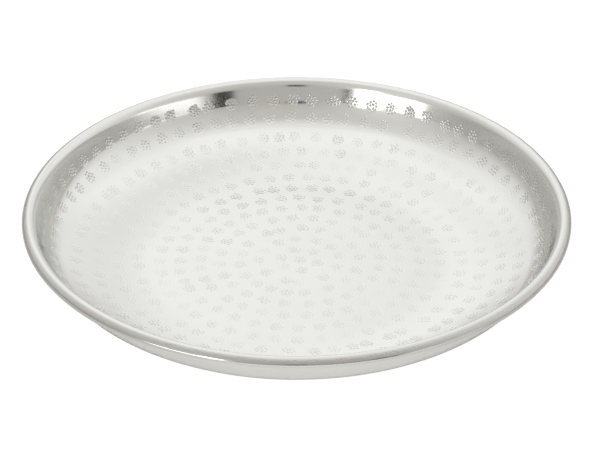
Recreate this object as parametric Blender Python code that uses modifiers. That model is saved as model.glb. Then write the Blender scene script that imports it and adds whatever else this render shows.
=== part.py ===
"""Round hammered metal tray with a wired edge.

One disc of sheet metal is pressed into a flat middle and a gently dished border that bends up softly into a short
steep wall. The top of the wall flares outward, turns over a tight shoulder and is rolled round a stiffening wire.
The tail of the roll is tucked in behind the shoulder. The wire is a separate open ring, held captive by the roll.

Metres, +Z up. The origin is the centre of the flat underside that the tray stands on.
"""
import math

import bpy

# Overall size
OVERALL_DIAMETER = 0.380
FLOOR_DIAMETER = 0.190
DISH_RISE = 0.0220
WALL_HEIGHT = 0.0215
WALL_SLOPE = math.radians(73.0)
CREASE_RADIUS = 0.0280
FLARE_RADIUS = 0.0100
SHOULDER_SLOPE = math.radians(56.0)
SHOULDER_RADIUS = 0.0046
SHOULDER_TURN = math.radians(70.0)

# Sheet and wired edge
SHEET_THICKNESS = 0.0010
WIRE_DIAMETER = 0.0040
WIRE_CLEARANCE = 0.0003
CURL_TURN = math.radians(220.0)
WIRE_BUTT_GAP = 0.0012

# Facets
TURN_STEPS = 96
DISH_STEPS = 6
CREASE_STEPS = 5
FLARE_STEPS = 2
SHOULDER_STEPS = 6
CURL_STEPS = 11
WIRE_BEVEL_RESOLUTION = 2

# Sizes that follow from those above
WIRE_RADIUS = WIRE_DIAMETER / 2
CURL_INNER_RADIUS = WIRE_RADIUS + WIRE_CLEARANCE
CURL_OUTER_RADIUS = CURL_INNER_RADIUS + SHEET_THICKNESS
WIRE_RING_RADIUS = OVERALL_DIAMETER / 2 - CURL_OUTER_RADIUS
WIRE_HEIGHT = SHEET_THICKNESS + DISH_RISE + WALL_HEIGHT

# Finish: linear colour, roughness
PLATED_STEEL = ((0.76, 0.75, 0.72, 1.0), 0.12)
BARE_WIRE = ((0.42, 0.41, 0.39, 1.0), 0.45)


def clear_scene():
    """Remove every object that is already in the file."""
    for old in list(bpy.data.objects):
        bpy.data.objects.remove(old, do_unlink=True)


def metal(name, colour, roughness):
    """A metallic Principled material."""
    material = bpy.data.materials.new(name)
    material.use_nodes = True
    shader = material.node_tree.nodes["Principled BSDF"]
    shader.inputs["Base Color"].default_value = colour
    shader.inputs["Metallic"].default_value = 1.0
    shader.inputs["Roughness"].default_value = roughness
    return material


def arc(centre, radius, start, end, steps):
    """Points on an arc from angle start to angle end, both ends included."""
    angles = [start + (end - start) * i / steps for i in range(steps + 1)]
    return [(centre[0] + radius * math.cos(a), centre[1] + radius * math.sin(a)) for a in angles]


class SheetLine:
    """Where the upper face of the sheet runs, as arcs and straight stretches in the (radius, height) plane.

    The underside has the same centres, with each radius changed by the sheet's thickness.
    """

    def __init__(self):
        along = (math.cos(WALL_SLOPE), math.sin(WALL_SLOPE))
        inward = (-along[1], along[0])
        self.curl_centre = (WIRE_RING_RADIUS, WIRE_HEIGHT)

        # The shoulder is an arc that goes over the crest and meets the curl well past it
        rise = (math.sin(SHOULDER_TURN), math.cos(SHOULDER_TURN))
        sink = CURL_OUTER_RADIUS - SHOULDER_RADIUS
        self.shoulder_centre = tuple(c + sink * n for c, n in zip(self.curl_centre, rise))

        # The flare is a wider arc that bends the wall outward to the shoulder
        lean = (-math.sin(SHOULDER_SLOPE), math.cos(SHOULDER_SLOPE))
        widen = SHOULDER_RADIUS - FLARE_RADIUS
        self.flare_centre = tuple(c + widen * n for c, n in zip(self.shoulder_centre, lean))
        self.wall_top = tuple(c + FLARE_RADIUS * n for c, n in zip(self.flare_centre, inward))

        # The dish is an arc that leaves the flat floor smoothly and passes through the foot of the wall
        floor_edge = FLOOR_DIAMETER / 2
        foot_height = SHEET_THICKNESS + DISH_RISE
        foot_radius = self.wall_top[0] - (self.wall_top[1] - foot_height) * along[0] / along[1]
        run = foot_radius - floor_edge
        self.dish_radius = (run ** 2 + DISH_RISE ** 2) / (2 * DISH_RISE)
        self.dish_centre = (floor_edge, SHEET_THICKNESS + self.dish_radius)

        # The crease is a fillet that touches the dish arc and the wall
        start = [p + CREASE_RADIUS * n - d for p, n, d in zip(self.wall_top, inward, self.dish_centre)]
        ahead = start[0] * along[0] + start[1] * along[1]
        reach = self.dish_radius - CREASE_RADIUS
        slide = -ahead - math.sqrt(ahead ** 2 - start[0] ** 2 - start[1] ** 2 + reach ** 2)
        from_dish = [s + slide * a for s, a in zip(start, along)]
        self.crease_centre = tuple(d + f for d, f in zip(self.dish_centre, from_dish))
        self.dish_end = math.atan2(from_dish[1], from_dish[0])
        self.wall_angle = WALL_SLOPE - math.pi / 2

        # The curl goes on round the wire until its tail is tucked in behind the shoulder
        self.flare_start = WALL_SLOPE + math.pi / 2
        self.shoulder_start = SHOULDER_SLOPE + math.pi / 2
        self.curl_start = math.pi / 2 - SHOULDER_TURN
        self.curl_end = self.curl_start - CURL_TURN

    def face(self, depth):
        """One face of the sheet from the floor's centre to the curl's tail, depth below the upper face."""
        bottom = -math.pi / 2
        points = [(0.0, SHEET_THICKNESS - depth)]
        points += arc(self.dish_centre, self.dish_radius + depth, bottom, self.dish_end, DISH_STEPS)
        crease = arc(self.crease_centre, CREASE_RADIUS + depth, self.dish_end, self.wall_angle, CREASE_STEPS)
        points += crease[1:]
        flare = FLARE_RADIUS - depth
        points += arc(self.flare_centre, flare, self.flare_start, self.shoulder_start, FLARE_STEPS)
        over = SHOULDER_RADIUS - depth
        points += arc(self.shoulder_centre, over, self.shoulder_start, self.curl_start, SHOULDER_STEPS)[1:]
        curl = arc(self.curl_centre, CURL_OUTER_RADIUS - depth, self.curl_start, self.curl_end, CURL_STEPS)
        return points + curl[1:]


def turned(name, profile, material, collection):
    """A solid of revolution about Z from an open profile whose two ends lie on the axis."""
    mesh = bpy.data.meshes.new(name)
    edges = [(i, i + 1) for i in range(len(profile) - 1)]
    mesh.from_pydata([(r, 0.0, z) for r, z in profile], edges, [])
    mesh.materials.append(material)
    body = bpy.data.objects.new(name, mesh)
    collection.objects.link(body)
    screw = body.modifiers.new("turn", "SCREW")
    screw.axis = "Z"
    screw.angle = math.tau
    screw.steps = TURN_STEPS
    screw.render_steps = TURN_STEPS
    screw.use_merge_vertices = True
    screw.merge_threshold = 0.00001
    screw.use_smooth_shade = True
    return body


def tray_pan(collection):
    """The pressed sheet: floor, dished border, crease, wall, flare, shoulder and the curl round the wire."""
    line = SheetLine()
    upper = line.face(0.0)
    under = line.face(SHEET_THICKNESS)
    return turned("tray_pan", upper + under[::-1], metal("plated_steel", *PLATED_STEEL), collection)


def rim_wire(collection):
    """The stiffening wire in the curl: a round wire bent to a ring, with its ends butted."""
    curve = bpy.data.curves.new("rim_wire", "CURVE")
    curve.dimensions = "3D"
    curve.bevel_depth = WIRE_RADIUS
    curve.bevel_resolution = WIRE_BEVEL_RESOLUTION
    curve.use_fill_caps = True
    half_gap = WIRE_BUTT_GAP / 2 / WIRE_RING_RADIUS
    ring = arc((0.0, 0.0), WIRE_RING_RADIUS, half_gap, math.tau - half_gap, TURN_STEPS)
    spline = curve.splines.new("POLY")
    spline.points.add(len(ring) - 1)
    for point, (x, y) in zip(spline.points, ring):
        point.co = (x, y, 0.0, 1.0)
    curve.materials.append(metal("bare_wire", *BARE_WIRE))
    wire = bpy.data.objects.new("rim_wire", curve)
    wire.location.z = WIRE_HEIGHT
    collection.objects.link(wire)
    return wire


def main():
    clear_scene()
    collection = bpy.data.collections.new("decorative_tray")
    bpy.context.scene.collection.children.link(collection)
    tray_pan(collection)
    rim_wire(collection)


main()
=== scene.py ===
"""Looks of a round hammered tray: the marked upper face, the rolled bead and the smooth underside.

Metres, +Z up, in the frame of the solids. The sheet follows the same line as the solid: a flat floor, a
dished border, a soft bend, a steep wall that flares outward, a tight shoulder and a curl round the wire.
The hammer marks are relief on dense rings of points.
"""
import math

import bpy
import numpy as np
from mathutils import Matrix, Vector


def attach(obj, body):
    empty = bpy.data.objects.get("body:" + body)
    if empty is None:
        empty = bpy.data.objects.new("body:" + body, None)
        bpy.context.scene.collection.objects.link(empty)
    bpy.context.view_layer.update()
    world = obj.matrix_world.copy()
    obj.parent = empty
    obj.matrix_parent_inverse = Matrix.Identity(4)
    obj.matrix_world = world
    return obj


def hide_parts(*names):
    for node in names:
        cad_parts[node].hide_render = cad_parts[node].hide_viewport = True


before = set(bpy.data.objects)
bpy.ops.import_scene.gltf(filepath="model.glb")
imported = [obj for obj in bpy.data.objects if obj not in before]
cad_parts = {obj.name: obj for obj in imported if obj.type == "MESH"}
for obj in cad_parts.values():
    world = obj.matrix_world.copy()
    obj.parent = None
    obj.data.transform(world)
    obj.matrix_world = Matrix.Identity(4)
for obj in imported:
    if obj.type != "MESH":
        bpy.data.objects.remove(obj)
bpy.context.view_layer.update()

# Sheet and wired edge, the sizes of the solid
OVERALL_DIAMETER = 0.380
FLOOR_DIAMETER = 0.190
DISH_RISE = 0.0220
WALL_HEIGHT = 0.0215
WALL_SLOPE = math.radians(73.0)
CREASE_RADIUS = 0.0280
FLARE_RADIUS = 0.0100
SHOULDER_SLOPE = math.radians(56.0)
SHOULDER_RADIUS = 0.0046
SHOULDER_TURN = math.radians(70.0)
SHEET_THICKNESS = 0.0010
WIRE_DIAMETER = 0.0040
WIRE_CLEARANCE = 0.0003
CURL_TURN = math.radians(220.0)

CURL_INNER_RADIUS = WIRE_DIAMETER / 2 + WIRE_CLEARANCE
CURL_RADIUS = CURL_INNER_RADIUS + SHEET_THICKNESS
WIRE_RING_RADIUS = OVERALL_DIAMETER / 2 - CURL_RADIUS
WIRE_HEIGHT = SHEET_THICKNESS + DISH_RISE + WALL_HEIGHT

# Slight unevenness of a sheet worked by hand
WAVE_LENGTHS = (0.035, 0.044, 0.052, 0.063, 0.080)
WAVE_STEEPNESS = 0.00025

# Rings of hammer marks, about a middle that the maker set slightly off the tray's axis
RING_PITCH = 0.01419
RING_RADII = np.append(RING_PITCH * np.arange(10), [0.1413, 0.1547, 0.1703])
WALL_RING_HEIGHT = 0.0340
BEAD_RING_TURN = math.radians(38)
MARK_SPACING = 0.01505
WALL_MARKS = 72
BEAD_MARKS = 76
PATTERN_OFFSET = 0.0027
OFFSET_FADE_START = 0.120
OFFSET_FADE_END = 0.170

# One mark: a shallow round dish with a cluster of pits that fade near its edge
PUNCH_RADIUS = 0.0052
PUNCH_DEPTH = 0.00010
EDGE_MARGIN = 0.0001
EDGE_FADE = 0.0009
PIT_PITCH = 0.0026
PIT_RADIUS = 0.00085
PIT_DEPTH = 0.00036
PIT_WANDER = 0.00030
PIT_UNEVENNESS = 0.15
BEAD_MARK_WIDTH = 0.0012

# How hard the blows are, ring by ring, and how they vary: shares of the mean unless in metres
FORCE_RINGS = [5, 7, 11, 12]
FORCE_AT_RINGS = [0.95, 0.8, 1.0, 1.8]
WALL_FORCE = 1.6
BEAD_FORCE = 0.7
FORCE_SPREAD = 0.22
FORCE_LEAST, FORCE_MOST = 0.55, 1.45
GAP_SPREAD = 0.09
PAIR_SHARE = 0.10
GAP_IN_PAIR, GAP_AFTER_PAIR = 0.72, 1.22
MARK_WANDER = 0.0004
TILT_SPREAD = 0.25
LEAN_LEAST, LEAN_MOST = 0.2, 1.6

# Seeds of the random draws
WAVE_SEED = 11
FIRST_RING_SEED = 100
WALL_SEED = 131
BEAD_SEED = 151

# Spacing of the points: fine over the marks, coarse between them
LINE_SAMPLES = 4001
FINE = 0.00048
COARSE = 0.0012
MARK_REACH = 0.0056
SEAM_ROW = 0.0001
SMALLEST_RING = 0.006
WALL_FINE = 0.0004
WALL_COLUMNS = 2800
RIM_COLUMNS = 1200
FLARE_SPACING = 0.0008
BEAD_SPACING = 0.0005
BEAD_MARK_REACH = 0.0035
BEAD_TAIL_START = 0.0039
BEAD_RADIUS = 0.180
CUT_EDGE_ROWS = 4
SKIN_COLUMNS = 480
BASE_MARGIN = 0.004
BASE_SPACING = 0.008

# Spacing on the back of the dish, bend, wall, flare, shoulder and curl
BACK_SPACINGS = (0.004, 0.0015, 0.0015, 0.0010, 0.0005, 0.0005)


def sheet_stretches():
    """Arcs and straight stretches of the upper face, with the arc length at which each one ends.

    The dish arc leaves the floor smoothly and passes through the corner where the wall would meet it. The
    crease is a wide fillet, the soft bend, that touches the dish and the wall. The flare is an arc that bends
    the wall outward. The shoulder is a tighter arc that goes on over the crest. The curl is an arc about the
    wire, tangent to the shoulder.
    """
    along = np.array([math.cos(WALL_SLOPE), math.sin(WALL_SLOPE)])
    inward = np.array([-along[1], along[0]])
    wire = np.array([WIRE_RING_RADIUS, WIRE_HEIGHT])
    over_shoulder = np.array([math.sin(SHOULDER_TURN), math.cos(SHOULDER_TURN)])
    shoulder = wire + (CURL_RADIUS - SHOULDER_RADIUS) * over_shoulder
    off_shoulder = np.array([-math.sin(SHOULDER_SLOPE), math.cos(SHOULDER_SLOPE)])
    flare = shoulder + (SHOULDER_RADIUS - FLARE_RADIUS) * off_shoulder
    wall_top = flare + FLARE_RADIUS * inward
    floor_edge = FLOOR_DIAMETER / 2
    run = wall_top[0] - (wall_top[1] - SHEET_THICKNESS - DISH_RISE) / math.tan(WALL_SLOPE) - floor_edge
    dish_radius = (run ** 2 + DISH_RISE ** 2) / (2 * DISH_RISE)
    dish = np.array([floor_edge, SHEET_THICKNESS + dish_radius])
    start = wall_top + CREASE_RADIUS * inward - dish
    lean = start @ along
    slide = -lean - math.sqrt(lean ** 2 - start @ start + (dish_radius - CREASE_RADIUS) ** 2)
    from_dish = start + slide * along
    crease = dish + from_dish
    dish_end = math.atan2(from_dish[1], from_dish[0])
    wall_foot = crease - CREASE_RADIUS * inward
    ends = np.cumsum([floor_edge,
                      dish_radius * (dish_end + math.pi / 2),
                      CREASE_RADIUS * (WALL_SLOPE - math.pi / 2 - dish_end),
                      math.dist(wall_top, wall_foot),
                      FLARE_RADIUS * (WALL_SLOPE - SHOULDER_SLOPE),
                      SHOULDER_RADIUS * (SHOULDER_SLOPE + SHOULDER_TURN),
                      CURL_RADIUS * CURL_TURN])
    return {"dish": dish, "dish_radius": dish_radius, "dish_end": dish_end, "crease": crease,
            "wall_foot": wall_foot, "along": along, "inward": inward, "flare": flare,
            "shoulder": shoulder, "wire": wire, "ends": ends}


LINE = sheet_stretches()
FLOOR_END, DISH_END, CREASE_END, WALL_END, FLARE_END, SHOULDER_END, CURL_END = LINE["ends"]


def upper_line(s):
    """Radius, height and unit normal of the upper face at arc length s from the middle.

    On a straight stretch the point moves evenly along it. On an arc it is centre + radius * (cos, sin) of an
    angle that changes evenly with s. The normal points to the centre on the dish and the crease, and away
    from it on the flare, the shoulder and the curl.
    """
    dish_turn = -math.pi / 2 + (s - FLOOR_END) / LINE["dish_radius"]
    crease_turn = LINE["dish_end"] + (s - DISH_END) / CREASE_RADIUS
    up_wall = s - CREASE_END
    flare_turn = WALL_SLOPE + math.pi / 2 - (s - WALL_END) / FLARE_RADIUS
    shoulder_turn = SHOULDER_SLOPE + math.pi / 2 - (s - FLARE_END) / SHOULDER_RADIUS
    curl_turn = math.pi / 2 - SHOULDER_TURN - (s - SHOULDER_END) / CURL_RADIUS
    where = [s <= FLOOR_END, s <= DISH_END, s <= CREASE_END, s <= WALL_END, s <= FLARE_END, s <= SHOULDER_END]
    radius = np.select(where, [s,
                               LINE["dish"][0] + LINE["dish_radius"] * np.cos(dish_turn),
                               LINE["crease"][0] + CREASE_RADIUS * np.cos(crease_turn),
                               LINE["wall_foot"][0] + up_wall * LINE["along"][0],
                               LINE["flare"][0] + FLARE_RADIUS * np.cos(flare_turn),
                               LINE["shoulder"][0] + SHOULDER_RADIUS * np.cos(shoulder_turn)],
                       LINE["wire"][0] + CURL_RADIUS * np.cos(curl_turn))
    height = np.select(where, [np.full_like(s, SHEET_THICKNESS),
                               LINE["dish"][1] + LINE["dish_radius"] * np.sin(dish_turn),
                               LINE["crease"][1] + CREASE_RADIUS * np.sin(crease_turn),
                               LINE["wall_foot"][1] + up_wall * LINE["along"][1],
                               LINE["flare"][1] + FLARE_RADIUS * np.sin(flare_turn),
                               LINE["shoulder"][1] + SHOULDER_RADIUS * np.sin(shoulder_turn)],
                       LINE["wire"][1] + CURL_RADIUS * np.sin(curl_turn))
    out = np.select(where, [np.zeros_like(s), -np.cos(dish_turn), -np.cos(crease_turn),
                            np.full_like(s, LINE["inward"][0]), np.cos(flare_turn), np.cos(shoulder_turn)],
                    np.cos(curl_turn))
    up = np.select(where, [np.ones_like(s), -np.sin(dish_turn), -np.sin(crease_turn),
                           np.full_like(s, LINE["inward"][1]), np.sin(flare_turn), np.sin(shoulder_turn)],
                   np.sin(curl_turn))
    return radius, height, out, up


LINE_LENGTHS = np.linspace(0, FLARE_END, LINE_SAMPLES)
LINE_RADII, LINE_HEIGHTS = upper_line(LINE_LENGTHS)[:2]


def arc_length(radius):
    """Arc length from the middle to the point of the floor, dish, crease or wall at this radius."""
    return np.interp(radius, LINE_RADII, LINE_LENGTHS)


def hand_waves(points):
    """Slight unevenness of a sheet worked by hand: a sum of sine waves that run in random directions.

    Each wave is WAVE_STEEPNESS * length high, and the sum is about 0.05 mm at most.
    """
    rng = np.random.default_rng(WAVE_SEED)
    total = np.zeros(points.shape[:-1])
    for length in WAVE_LENGTHS:
        direction = rng.normal(size=3)
        direction *= math.tau / length / np.linalg.norm(direction)
        total += length * np.sin(points @ direction + rng.uniform(0, math.tau))
    return WAVE_STEEPNESS * total


def on_sheet(s, turn, sink):
    """Points of the upper face at arc length s and angle turn about the axis, pressed in by sink.

    The sink is along the normal. Each point is followed by its sink, so an array's last axis has four values.
    """
    radius, height, out, up = upper_line(s)
    ring = np.stack([np.cos(turn), np.sin(turn)], axis=-1)
    points = np.concatenate([radius[..., None] * ring, height[..., None]], axis=-1)
    normals = np.concatenate([out[..., None] * ring, up[..., None]], axis=-1)
    points = points + (hand_waves(points) - sink)[..., None] * normals
    return np.concatenate([points, sink[..., None]], axis=-1)


def ring_of_marks(count, seed, force):
    """Where each blow of the punch fell on one ring, and how the punch was held, all irregular by hand."""
    rng = np.random.default_rng(seed)
    gaps = 1 + GAP_SPREAD * rng.normal(size=count)
    pairs = rng.random(count) < PAIR_SHARE
    gaps[pairs] *= GAP_IN_PAIR
    gaps[np.roll(pairs, 1)] *= GAP_AFTER_PAIR
    angle = np.cumsum(gaps) / gaps.sum() * math.tau + rng.uniform(0, math.tau)
    return {"angle": np.sort(angle % math.tau),
            "shift": MARK_WANDER * rng.normal(size=count),
            "twist": rng.uniform(0, math.tau, count),
            "offset": rng.uniform(-0.5, 0.5, (2, count)) * PIT_PITCH,
            "force": force * np.clip(1 + FORCE_SPREAD * rng.normal(size=count), FORCE_LEAST, FORCE_MOST),
            "tilt": TILT_SPREAD * rng.normal(size=(2, count))}


def mark_depth(marks, turn, ring_radius, across):
    """How deep the marks of one ring press the sheet in, at angle turn and distance across from its line.

    Each mark is a shallow round dish, depth * (1 - (d / radius)^2)^2, with pits of the same form on a
    staggered lattice that is turned and shifted at random. Each pit wanders from its place by a sine of its
    row and column numbers. Pits near the punch's edge fade, and a tilted blow is deeper on one side. A point
    takes the marks before and after it on the ring.
    """
    after = np.searchsorted(marks["angle"], turn)
    row = PIT_PITCH * math.sqrt(3) / 2
    total = np.zeros_like(across)
    for step in (-1, 0):
        k = (after + step) % len(marks["angle"])
        along = ring_radius * ((turn - marks["angle"][k] + math.pi) % math.tau - math.pi)
        aside = across - marks["shift"][k]
        dish = np.clip(1 - (along ** 2 + aside ** 2) / PUNCH_RADIUS ** 2, 0, None) ** 2
        twist = marks["twist"][k]
        a = along * np.cos(twist) + aside * np.sin(twist)
        b = aside * np.cos(twist) - along * np.sin(twist)
        line = np.round((b - marks["offset"][1][k]) / row)
        stagger = 0.5 * (line % 2)
        place = np.round((a - marks["offset"][0][k]) / PIT_PITCH - stagger) + stagger
        wobble_a = np.sin(127.1 * place + 311.7 * line + 7 * k)
        wobble_b = np.sin(91.3 * place + 57.9 * line + 5 * k)
        pit_a = place * PIT_PITCH + marks["offset"][0][k] + PIT_WANDER * wobble_a
        pit_b = line * row + marks["offset"][1][k] + PIT_WANDER * wobble_b
        pit = np.clip(1 - ((a - pit_a) ** 2 + (b - pit_b) ** 2) / PIT_RADIUS ** 2, 0, None) ** 2
        edge = np.clip((PUNCH_RADIUS - EDGE_MARGIN - np.hypot(pit_a, pit_b)) / EDGE_FADE, 0, 1)
        tilt = (marks["tilt"][0][k] * pit_a + marks["tilt"][1][k] * pit_b) / PUNCH_RADIUS
        lean = np.clip(1 + tilt + PIT_UNEVENNESS * wobble_a, LEAN_LEAST, LEAN_MOST)
        total += marks["force"][k] * (PUNCH_DEPTH * dish + PIT_DEPTH * edge * lean * pit)
    return total


def ring_turns(count):
    """Angles of the points on a closed ring."""
    return math.tau * np.arange(count) / count


def columns_at(radius):
    """How many points a ring of this radius needs at the fine spacing."""
    return int(math.ceil(math.tau * radius / FINE))


def spaced(start, end, spacing):
    """Even places from start to end, both included, no further apart than the spacing."""
    return np.linspace(start, end, max(2, int(math.ceil(abs(end - start) / spacing - 1e-9)) + 1))


def places_about(start, end, line):
    """Places from start to end: fine within reach of a ring of marks and coarse outside it.

    There is a row close to each end, so that the shading doesn't spread over a seam.
    """
    low, high = max(start + SEAM_ROW, line - MARK_REACH), min(end - SEAM_ROW, line + MARK_REACH)
    return np.concatenate([[start], spaced(start + SEAM_ROW, low, COARSE)[:-1], spaced(low, high, FINE),
                           spaced(high, end - SEAM_ROW, COARSE)[1:], [end]])


def ring_mesh(name, bands, middle=None, turned_over=False):
    """A mesh from bands of closed rings, each an array of (rings, columns, 4): points and how far they sink.

    Inside a band, neighbouring rings are joined by quads. Where one band meets the next with another number
    of columns, the two rings are joined by triangles taken in the order of their edges' angles. A middle
    point closes the first ring with a fan.
    """
    points, quads, triangles, count, last = [], [], [], 0, None
    for band in bands:
        rows, columns = band.shape[:2]
        index = count + np.arange(rows * columns).reshape(rows, columns)
        beside = np.roll(index, -1, axis=1)
        quads.append(np.stack([index[:-1], index[1:], beside[1:], beside[:-1]], axis=-1).reshape(-1, 4))
        if last is not None:
            near, far = last, index[0]
            near_mid = (np.arange(len(near)) + 0.5) / len(near)
            far_mid = (np.arange(len(far)) + 0.5) / len(far)
            apex = far[np.searchsorted(far_mid, near_mid) % len(far)]
            base = near[np.searchsorted(near_mid, far_mid, side="right") % len(near)]
            triangles.append(np.stack([near, apex, np.roll(near, -1)], axis=-1))
            triangles.append(np.stack([far, np.roll(far, -1), base], axis=-1))
        elif middle is not None:
            hub = np.full(columns, count + rows * columns)
            triangles.append(np.stack([hub, index[0], beside[0]], axis=-1))
        points.append(band.reshape(-1, 4))
        count += rows * columns
        if last is None and middle is not None:
            points.append(np.reshape(middle, (1, 4)))
            count += 1
        last = index[-1]
    points = np.concatenate(points)
    quads = np.concatenate(quads)
    triangles = np.concatenate(triangles) if triangles else np.zeros((0, 3), int)
    if turned_over:
        quads, triangles = quads[:, ::-1], triangles[:, ::-1]
    corners = np.concatenate([quads.ravel(), triangles.ravel()])
    starts = np.concatenate([4 * np.arange(len(quads)), quads.size + 3 * np.arange(len(triangles))])
    mesh = bpy.data.meshes.new(name)
    mesh.vertices.add(len(points))
    mesh.vertices.foreach_set("co", points[:, :3].astype(np.float32).ravel())
    mesh.loops.add(len(corners))
    mesh.loops.foreach_set("vertex_index", corners.astype(np.int32))
    mesh.polygons.add(len(starts))
    mesh.polygons.foreach_set("loop_start", starts.astype(np.int32))
    mesh.update(calc_edges=True)
    mesh.shade_smooth()
    pressed = mesh.attributes.new("pressed_in", "FLOAT", "POINT")
    pressed.data.foreach_set("value", points[:, 3].astype(np.float32))
    piece = bpy.data.objects.new(name, mesh)
    bpy.context.scene.collection.objects.link(piece)
    return piece


def off_centre(rho, turn):
    """Arc length and true angle of a point at radius rho and angle turn about the middle of the pattern.

    The pattern's middle is PATTERN_OFFSET to the side of the axis. The offset fades to nothing at the foot of
    the wall by a smooth step, so that the outermost ring is true to the wall.
    """
    fade = np.clip((OFFSET_FADE_END - rho) / (OFFSET_FADE_END - OFFSET_FADE_START), 0, 1)
    x = rho * np.cos(turn) + PATTERN_OFFSET * fade ** 2 * (3 - 2 * fade)
    y = rho * np.sin(turn)
    return arc_length(np.hypot(x, y)), np.arctan2(y, x)


RING_LINES = arc_length(RING_RADII)
WALL_LINE = np.interp(WALL_RING_HEIGHT, LINE_HEIGHTS, LINE_LENGTHS)

# Pieces meet half-way between rings of marks and in the flare, where no mark reaches
BETWEEN = (RING_LINES + np.append(RING_LINES[1:], WALL_LINE)) / 2
RIM_SEAM = (WALL_END + FLARE_END) / 2
MARK_COUNTS = np.maximum(1, np.round(math.tau * RING_RADII / MARK_SPACING)).astype(int)
RING_COLUMNS = [columns_at(max(radius, SMALLEST_RING)) for radius in RING_RADII]


def marked_band(ring, start, end):
    """The rings of points round one ring of marks on the floor or dish, between two arc lengths."""
    s, turn = np.meshgrid(places_about(start, end, RING_LINES[ring]), ring_turns(RING_COLUMNS[ring]),
                          indexing="ij")
    rho = upper_line(s)[0]
    force = np.interp(ring, FORCE_RINGS, FORCE_AT_RINGS)
    marks = ring_of_marks(MARK_COUNTS[ring], FIRST_RING_SEED + ring, force)
    if ring == 0:
        # The one mark in the middle comes before and after each point, so it is counted twice and halved
        marks["angle"], marks["shift"] = np.zeros(1), np.zeros(1)
        along, across = rho * np.cos(turn), rho * np.sin(turn)
        sink = mark_depth(marks, along / RING_PITCH % math.tau, RING_PITCH, across) / 2
    else:
        sink = mark_depth(marks, turn, rho, s - RING_LINES[ring])
    return on_sheet(*off_centre(rho, turn), sink)


def seam_ring(s, columns):
    """One ring of points on the unmarked line between two pieces of the floor or dish."""
    rho, turn = np.meshgrid(upper_line(np.array([s]))[0], ring_turns(columns), indexing="ij")
    return on_sheet(*off_centre(rho, turn), np.zeros_like(rho))


def hammered_rings(name, first, last):
    """The upper face from ring of marks first to ring last, cut half-way between rings."""
    bands = []
    for ring in range(first, last + 1):
        start = FINE if ring == 0 else BETWEEN[ring - 1] + SEAM_ROW
        end = BETWEEN[ring] - (0 if ring == last else SEAM_ROW)
        if ring == first and first > 0:
            bands.append(seam_ring(BETWEEN[ring - 1], RING_COLUMNS[ring - 1]))
        bands.append(marked_band(ring, start, end))
    middle = bands[0][0].mean(axis=0) if first == 0 else None
    return ring_mesh(name, bands, middle)


def sheet_band(places, columns, marks=None, line=0.0, width=None):
    """Rings of points on the crease, wall or curl at the given arc lengths, with one ring of marks or none.

    The marks lie at arc length line. On the bead only the strip that the punch touched is marked, so they
    fade across it as exp(-(distance / width)^2).
    """
    s, turn = np.meshgrid(places, ring_turns(columns), indexing="ij")
    sink = np.zeros_like(s)
    if marks is not None:
        sink = mark_depth(marks, turn, upper_line(np.array([line]))[0][0], s - line)
    if width is not None:
        sink = sink * np.exp(-((s - line) / width) ** 2)
    return on_sheet(s, turn, sink)


def sunk_band(places, depths):
    """Rings of points below the upper face: arc length and depth vary together, or one is a single value."""
    places, depths = np.broadcast_arrays(places, depths)
    s, turn = np.meshgrid(places, ring_turns(SKIN_COLUMNS), indexing="ij")
    points = on_sheet(s, turn, np.repeat(depths[:, None], SKIN_COLUMNS, axis=1))
    points[..., 3] = 0
    return points


def hammered_wall():
    """The soft bend and the steep wall with its one ring of marks, and the lower part of the flare."""
    foot, low, high = BETWEEN[-1], WALL_LINE - MARK_REACH, WALL_LINE + MARK_REACH
    seam = seam_ring(foot, RING_COLUMNS[-1])
    places = np.concatenate([[foot + SEAM_ROW], spaced(foot + 2 * SEAM_ROW, low, COARSE)[:-1],
                             spaced(low, high, WALL_FINE)])
    marks = ring_of_marks(WALL_MARKS, WALL_SEED, WALL_FORCE)
    marked = sheet_band(places, WALL_COLUMNS, marks, WALL_LINE)
    above = np.append(spaced(high + COARSE / 2, RIM_SEAM - SEAM_ROW, COARSE), RIM_SEAM)
    return ring_mesh("hammered_wall", [seam, marked, sheet_band(above, RIM_COLUMNS)])


def rolled_bead():
    """The roll over the wire, with a ring of light marks on its outer shoulder, and its tail's cut edge."""
    line = FLARE_END + SHOULDER_RADIUS * (SHOULDER_SLOPE + BEAD_RING_TURN)
    marks = ring_of_marks(BEAD_MARKS, BEAD_SEED, BEAD_FORCE)
    seam = sheet_band(np.array([RIM_SEAM]), RIM_COLUMNS)
    places = np.concatenate([spaced(RIM_SEAM + SEAM_ROW, FLARE_END, FLARE_SPACING),
                             spaced(FLARE_END, line + BEAD_MARK_REACH, BEAD_SPACING)[1:]])
    top = sheet_band(places, columns_at(BEAD_RADIUS), marks, line, BEAD_MARK_WIDTH)
    tail = sheet_band(spaced(line + BEAD_TAIL_START, CURL_END, BEAD_SPACING), SKIN_COLUMNS)
    cut = sunk_band(np.array([CURL_END]), np.linspace(0, SHEET_THICKNESS, CUT_EDGE_ROWS)[1:])
    return ring_mesh("rolled_bead", [seam, top, tail, cut])


def smooth_underside():
    """The back of the sheet, one thickness below the upper face, from the middle to the curl's tail."""
    ends = LINE["ends"]
    places = [spaced(BASE_MARGIN, FLOOR_END - BASE_MARGIN, BASE_SPACING)]
    places += [spaced(start, end, spacing)[:-1] for start, end, spacing in zip(ends, ends[1:], BACK_SPACINGS)]
    back = sunk_band(np.concatenate(places + [[CURL_END]]), SHEET_THICKNESS)
    return ring_mesh("smooth_underside", [back], back[0].mean(axis=0), turned_over=True)


def linear(hex_colour):
    """An sRGB hex colour as linear RGBA."""
    srgb = [int(hex_colour[i:i + 2], 16) / 255 for i in (1, 3, 5)]
    return [c / 12.92 if c <= 0.04045 else ((c + 0.055) / 1.055) ** 2.4 for c in srgb] + [1.0]


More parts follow.
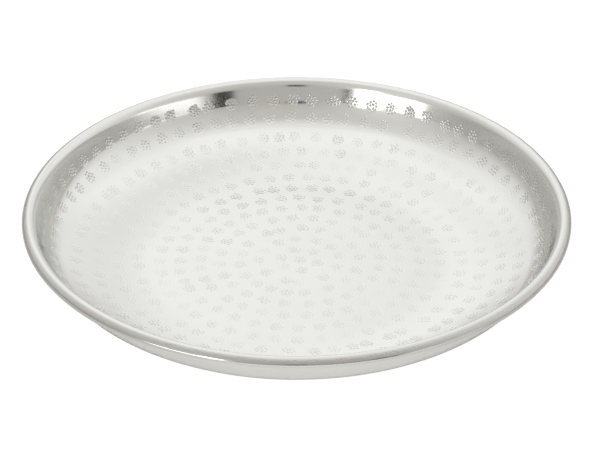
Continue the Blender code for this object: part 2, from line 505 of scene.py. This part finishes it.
def add(tree, kind, inputs={}, **settings):
    """Add one node: settings are its properties, inputs are values or links by socket."""
    node = tree.nodes.new(kind)
    for name, value in settings.items():
        setattr(node, name, value)
    for socket, value in inputs.items():
        if isinstance(value, bpy.types.NodeSocket):
            tree.links.new(value, node.inputs[socket])
        else:
            node.inputs[socket].default_value = value
    return node


def worked(tree, operation, *values):
    """The result of one Math node."""
    return add(tree, "ShaderNodeMath", dict(enumerate(values)), operation=operation).outputs[0]


def ranged(tree, value, low, high, to_low=0.0, to_high=1.0, **settings):
    """A value brought from the range low to high into another range, and held at its ends."""
    return add(tree, "ShaderNodeMapRange", {"Value": value, "From Min": low, "From Max": high,
                                            "To Min": to_low, "To Max": to_high}, **settings).outputs[0]


def mixed(tree, share, first, second):
    """Two colours mixed, with this share of the second."""
    return add(tree, "ShaderNodeMix", {0: share, 6: first, 7: second}, data_type="RGBA").outputs[2]


def noise(tree, socket, place, scale, detail, **settings):
    """A noise texture's level at a place, which is given to the socket of this name."""
    inputs = {socket: place, "Scale": scale, "Detail": detail}
    return add(tree, "ShaderNodeTexNoise", inputs, **settings).outputs[0]


def per_metre(millimetres):
    """How many times a pattern of this size in millimetres repeats in a metre."""
    return 1000 / millimetres


def new_material(name):
    """A material with its node tree, and the shader in it."""
    material = bpy.data.materials.new(name)
    material.use_nodes = True
    return material, material.node_tree, material.node_tree.nodes["Principled BSDF"]


# Finish of the plate: sizes in millimetres, distances from the middle of the shoulder in metres
BUFFING_LINE_MM, TONE_DRIFT_MM, HAZE_MM, BEAD_HATCH_MM = 0.7, 45, 1.1, 1.3
BUFFED_ROUGHNESS = (0.10, 0.16)
PIT_DULLNESS = 0.10
BEAD_DULLNESS = 0.12
BEAD_HALF_WIDTH = 0.0032
# Painted shade on the bead's outer flank: where it starts and is full outward, and how far below the wire it
# reaches
FLANK_SHADE_START, FLANK_SHADE_FULL = 0.0004, 0.0018
FLANK_SHADE_DROP = 0.0015
BEAD_HATCH_WEIGHT = 6.0
BUFFING_DEPTH = 0.000006
BUFFING_STRENGTH = 0.6


def polished_nickel_plate():
    """Nickel plate on steel, spun and buffed: bright, nearly mirror smooth, with faint lines round the axis
    left by the buffing wheel and a tone that drifts a little from place to place. The wheel doesn't reach
    into the pits, which stay duller, and their colour is a shade greyer, which is painted shade. The bead
    is duller too, with fine marks across it, and its outer flank is painted a darker grey as painted shade."""
    material, tree, shader = new_material("polished_nickel_plate")
    place = add(tree, "ShaderNodeTexCoord").outputs["Object"]
    x, y, z = add(tree, "ShaderNodeSeparateXYZ", {0: place}).outputs
    flat = add(tree, "ShaderNodeVectorMath", {0: place, 1: (1, 1, 0)}, operation="MULTIPLY").outputs[0]
    radius = add(tree, "ShaderNodeVectorMath", {0: flat}, operation="LENGTH").outputs["Value"]
    pressed = add(tree, "ShaderNodeAttribute", attribute_name="pressed_in").outputs["Fac"]
    pit = ranged(tree, pressed, 0.0, PIT_DEPTH)
    crest = LINE["shoulder"][0]
    bead = worked(tree, "COMPARE", radius, crest, BEAD_HALF_WIDTH)

    drift = noise(tree, "Vector", place, per_metre(TONE_DRIFT_MM), 2.0)
    tone = mixed(tree, drift, linear("#dddddc"), linear("#e2e2e0"))
    # Painted shade: the pits are painted a shade greyer, the deeper the greyer
    tone = mixed(tree, pit, tone, linear("#d9d9d7"))
    # Painted shade: the bead's outer upper flank is painted a darker grey
    outward = ranged(tree, radius, crest + FLANK_SHADE_START, crest + FLANK_SHADE_FULL)
    upward = ranged(tree, z, WIRE_HEIGHT - FLANK_SHADE_DROP, WIRE_HEIGHT)
    tone = mixed(tree, worked(tree, "MULTIPLY", outward, upward), tone, linear("#c3c2c0"))
    tree.links.new(tone, shader.inputs["Base Color"])

    haze = noise(tree, "Vector", place, per_metre(HAZE_MM), 4.0)
    rough = ranged(tree, haze, 0.25, 0.75, *BUFFED_ROUGHNESS)
    rough = worked(tree, "MULTIPLY_ADD", pit, PIT_DULLNESS, rough)
    rough = worked(tree, "MULTIPLY_ADD", bead, BEAD_DULLNESS, rough)
    tree.links.new(rough, shader.inputs["Roughness"])
    shader.inputs["Metallic"].default_value = 1.0

    lines = noise(tree, "W", radius, per_metre(BUFFING_LINE_MM), 3.0, noise_dimensions="1D")
    round_rim = worked(tree, "ARCTAN2", x, y)
    hatch_scale = per_metre(BEAD_HATCH_MM) * OVERALL_DIAMETER / 2
    hatch = noise(tree, "W", round_rim, hatch_scale, 2.0, noise_dimensions="1D")
    hatch = worked(tree, "MULTIPLY", hatch, bead)
    relief = worked(tree, "MULTIPLY_ADD", hatch, BEAD_HATCH_WEIGHT, lines)
    bump = add(tree, "ShaderNodeBump", {"Strength": BUFFING_STRENGTH, "Distance": BUFFING_DEPTH,
                                        "Height": relief}).outputs[0]
    tree.links.new(bump, shader.inputs["Normal"])
    return material


WIRE_GRAIN_MM = 0.8
WIRE_ROUGHNESS = (0.35, 0.55)


def bare_steel_wire():
    """Drawn steel wire, unplated: dull grey, with a fine grain left by the die."""
    material, tree, shader = new_material("bare_steel_wire")
    place = add(tree, "ShaderNodeTexCoord").outputs["Object"]
    grain = noise(tree, "Vector", place, per_metre(WIRE_GRAIN_MM), 3.0)
    tone = mixed(tree, grain, linear("#8f8c86"), linear("#b0aca5"))
    tree.links.new(tone, shader.inputs["Base Color"])
    tree.links.new(ranged(tree, grain, 0.0, 1.0, *WIRE_ROUGHNESS), shader.inputs["Roughness"])
    shader.inputs["Metallic"].default_value = 1.0
    return material


def toned(tree, value, stops):
    """A level that follows a value through the stops, each a value and the grey there, joined smoothly."""
    low, high = stops[0][0], stops[-1][0]
    node = add(tree, "ShaderNodeValToRGB", {0: ranged(tree, value, low, high)})
    ramp = node.color_ramp
    ramp.interpolation = "CARDINAL"
    while len(ramp.elements) < len(stops):
        ramp.elements.new(1.0)
    for element, (at, level) in zip(ramp.elements, stops):
        element.position = (at - low) / (high - low)
        element.color = (level, level, level, 1)
    return node.outputs[0]


# Light of the studio by bearing in degrees, 0 ahead and 90 to the right, at three heights
NEAR_TABLE = [(-180, 0.46), (-160, 0.48), (-140, 0.58), (-122, 0.58), (-105, 0.48), (-85, 0.45), (-60, 0.49),
              (-30, 0.46), (-14, 0.49), (-7, 0.62), (-2, 0.91), (3, 0.85), (8, 0.62), (14, 0.57), (22, 0.60),
              (34, 0.48), (46, 0.57), (70, 0.64), (110, 0.66), (132, 0.62), (142, 0.46), (180, 0.46)]
HALF_WAY_UP = [(-180, 0.51), (-165, 0.54), (-145, 0.70), (-128, 0.67), (-110, 0.57), (-90, 0.61),
               (-60, 0.74), (-25, 0.78), (-15, 0.88), (-2, 0.95), (4, 0.87), (10, 0.81), (20, 0.83),
               (32, 0.78), (42, 0.87), (55, 0.88), (72, 0.85), (92, 0.75), (112, 0.65), (135, 0.58),
               (150, 0.50), (180, 0.50)]
HIGH_CLOTH = [(-180, 0.57), (-145, 0.63), (-120, 0.68), (-90, 0.72), (-52, 0.86), (-36, 0.91), (-27, 0.97),
              (-18, 0.92), (-5, 0.95), (3, 0.90), (15, 0.82), (22, 0.85), (32, 0.95), (42, 0.92), (55, 0.88),
              (90, 0.82), (112, 0.72), (140, 0.60), (180, 0.56)]
HALF_WAY_RISE = (3.0, 18.0)
CLOTH_RISE = (18.0, 44.0)

# The ceiling by the angle over the top from ahead: bright over the table, dimmer over the camera
CEILING = [(60, 0.93), (70, 0.97), (77, 0.97), (85, 0.87), (95, 0.82), (105, 0.72), (115, 0.67), (135, 0.58)]
CEILING_RISE = (58.0, 76.0)

# Dim places are walls in a warm grey, bright ones are white cloth
WARM_GREY, CLOTH_WHITE = (1.035, 1.0, 0.945, 1), (1.0, 1.006, 0.984, 1)
WARM_LEVEL, WHITE_LEVEL = 0.55, 0.85

# Each card: heading, height above the horizon, half width, half height and softness, in degrees; its light
CARDS = [("soft box left", -138, 2, 15, 4.5, 5.0, (3.2, 3.2, 3.15)),
         ("its upright", -148, 6, 5, 9, 5.0, (3.2, 3.2, 3.15)),
         ("soft box right", 122, 0, 16, 4.5, 6.0, (1.5, 1.5, 1.47)),
         ("dark flag", 147.5, 4, 4.5, 5, 1.0, (0.0, 0.0, 0.0)),
         ("stand", -158, 6, 2, 2.5, 1.5, (0.10, 0.10, 0.10)),
         ("narrow flag", 180, 14, 4, 4.0, 1.0, (0.0, 0.0, 0.0))]
SURROUND_STRENGTH = 1.2


def studio():
    """Soft studio light as a surround: pale cloth ahead and above, dimmer walls near the table and to the
    sides, and a warm grey room behind the camera with two soft boxes and a few flags. The camera itself sees
    plain white."""
    world = bpy.data.worlds.new("soft_studio")
    bpy.context.scene.world = world
    world.use_nodes = True
    tree = world.node_tree
    tree.nodes.clear()
    direction = add(tree, "ShaderNodeTexCoord").outputs["Generated"]
    x, y, z = add(tree, "ShaderNodeSeparateXYZ", {0: direction}).outputs
    bearing = worked(tree, "DEGREES", worked(tree, "ARCTAN2", x, y))
    rise = worked(tree, "DEGREES", worked(tree, "ARCSINE", z))
    over = worked(tree, "DEGREES", worked(tree, "ARCTAN2", z, y))

    colour = toned(tree, bearing, NEAR_TABLE)
    for stops, heights in ((HALF_WAY_UP, HALF_WAY_RISE), (HIGH_CLOTH, CLOTH_RISE)):
        colour = mixed(tree, ranged(tree, rise, *heights), colour, toned(tree, bearing, stops))
    overhead = ranged(tree, rise, *CEILING_RISE, interpolation_type="SMOOTHSTEP")
    colour = mixed(tree, overhead, colour, toned(tree, over, CEILING))
    tint = mixed(tree, ranged(tree, colour, WARM_LEVEL, WHITE_LEVEL), WARM_GREY, CLOTH_WHITE)
    colour = add(tree, "ShaderNodeVectorMath", {0: colour, 1: tint}, operation="MULTIPLY").outputs[0]

    for name, heading, high, half_width, half_height, soft, light in CARDS:
        turned = add(tree, "ShaderNodeVectorRotate", {"Vector": direction, "Angle": math.radians(heading)},
                     rotation_type="Z_AXIS", label=name).outputs[0]
        aside, ahead = add(tree, "ShaderNodeSeparateXYZ", {0: turned}).outputs[:2]
        across = worked(tree, "DEGREES", worked(tree, "ARCTAN2", aside, ahead))
        above = worked(tree, "SUBTRACT", rise, float(high))
        inside = [ranged(tree, worked(tree, "ABSOLUTE", value), half + soft / 2, half - soft / 2,
                         interpolation_type="SMOOTHSTEP")
                  for value, half in ((across, half_width), (above, half_height))]
        colour = mixed(tree, worked(tree, "MULTIPLY", *inside), colour, (*light, 1))
    seen = add(tree, "ShaderNodeLightPath").outputs["Is Camera Ray"]
    shown = mixed(tree, seen, colour, (1, 1, 1, 1))
    background = add(tree, "ShaderNodeBackground", {"Color": shown, "Strength": SURROUND_STRENGTH}).outputs[0]
    add(tree, "ShaderNodeOutputWorld", {"Surface": background})


# Floor, and the soft box over it that lights the outside of the tray by way of the floor
FLOOR_HEIGHT = -0.0001
FLOOR_RINGS = np.array([0.05, 0.5, 2.0, 8.0])
FLOOR_COLUMNS = 96
FLOOR_ROUGHNESS = 0.9
FLOOR_GLOW = 1.1
GLOW_SHARE = 0.9
LAMP_PLACE = (0, -0.75, 0.6)
LAMP_FACING = (0, -0.45, 0.6)
LAMP_SIZE = 0.5
LAMP_POWER = 13.5


def pale_floor():
    """The floor: a wide pale matte disc, lit from above; the tray's shadow on it is faint to the camera."""
    rho, turn = np.meshgrid(FLOOR_RINGS, ring_turns(FLOOR_COLUMNS), indexing="ij")
    low, flat = np.full_like(rho, FLOOR_HEIGHT), np.zeros_like(rho)
    rings = np.stack([rho * np.cos(turn), rho * np.sin(turn), low, flat], axis=-1)
    floor = ring_mesh("pale_floor", [rings], (0, 0, FLOOR_HEIGHT, 0))
    material, tree, shader = new_material("matte_white_floor")
    shader.inputs["Base Color"].default_value = linear("#b1b0ae")
    shader.inputs["Roughness"].default_value = FLOOR_ROUGHNESS
    shader.inputs["Specular IOR Level"].default_value = 0.0
    glow = add(tree, "ShaderNodeEmission", {"Color": (1, 1, 1, 1), "Strength": FLOOR_GLOW}).outputs[0]
    seen = add(tree, "ShaderNodeLightPath").outputs["Is Camera Ray"]
    share = worked(tree, "MULTIPLY", seen, GLOW_SHARE)
    both = add(tree, "ShaderNodeMixShader", {0: share, 1: shader.outputs[0], 2: glow}).outputs[0]
    tree.links.new(both, tree.nodes["Material Output"].inputs["Surface"])
    floor.data.materials.append(material)
    lamp = bpy.data.lights.new("overhead_soft_box", "AREA")
    lamp.shape = "DISK"
    lamp.size = LAMP_SIZE
    lamp.energy = LAMP_POWER
    box = bpy.data.objects.new("overhead_soft_box", lamp)
    box.location = LAMP_PLACE
    box.rotation_euler = Vector(LAMP_FACING).to_track_quat("Z", "Y").to_euler()
    box.visible_glossy = False
    box.visible_camera = False
    bpy.context.scene.collection.objects.link(box)


# Camera: the photograph's viewing angle, with the middle of the tray's floor at this pixel of its frame
IMAGE_SIZE = (600, 450)
FLOOR_MIDDLE_PIXEL = (296.7, 259.33)
FOCAL_PIXELS = 1977.5
SENSOR_WIDTH_MM = 36.0
CAMERA_DISTANCE = 1.400
CAMERA_ELEVATION = math.radians(32.8)


def camera():
    """The camera looks along +Y and down, turned slightly so that the floor's middle falls on its pixel."""
    lens = bpy.data.cameras.new("camera")
    lens.sensor_width = SENSOR_WIDTH_MM
    lens.lens = SENSOR_WIDTH_MM * FOCAL_PIXELS / IMAGE_SIZE[0]
    to_camera = Vector((0, -math.cos(CAMERA_ELEVATION), math.sin(CAMERA_ELEVATION)))
    up = Vector((0, math.sin(CAMERA_ELEVATION), math.cos(CAMERA_ELEVATION)))
    right = Vector((1, 0, 0))
    aside = (IMAGE_SIZE[0] / 2 - FLOOR_MIDDLE_PIXEL[0]) / FOCAL_PIXELS
    above = (FLOOR_MIDDLE_PIXEL[1] - IMAGE_SIZE[1] / 2) / FOCAL_PIXELS
    back = (to_camera - aside * right - above * up).normalized()
    right = up.cross(back).normalized()
    up = back.cross(right)
    view = bpy.data.objects.new("camera", lens)
    turn = Matrix((right, up, back)).transposed().to_4x4()
    stand = to_camera * CAMERA_DISTANCE + Vector((0, 0, SHEET_THICKNESS))
    view.matrix_world = Matrix.Translation(stand) @ turn
    bpy.context.scene.collection.objects.link(view)
    bpy.context.scene.camera = view


def dress():
    """Make each piece, give it its metal and let it ride with the tray."""
    plate = polished_nickel_plate()
    pieces = [hammered_rings("hammered_floor_middle", 0, 5),
              hammered_rings("hammered_floor_border", 6, 7),
              hammered_rings("hammered_dish_inner", 8, 9),
              hammered_rings("hammered_dish_middle", 10, 10),
              hammered_rings("hammered_dish_upper", 11, 11),
              hammered_rings("hammered_dish_edge", 12, 12),
              hammered_wall(), rolled_bead(), smooth_underside()]
    for piece in pieces:
        piece.data.materials.append(plate)
        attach(piece, "root")
        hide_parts("tray_pan")
    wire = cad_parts["rim_wire"]
    steel = bare_steel_wire()
    for slot in wire.material_slots:
        slot.material = steel


camera()
studio()
pale_floor()
dress()
bpy.context.scene.view_settings.view_transform = "Standard"
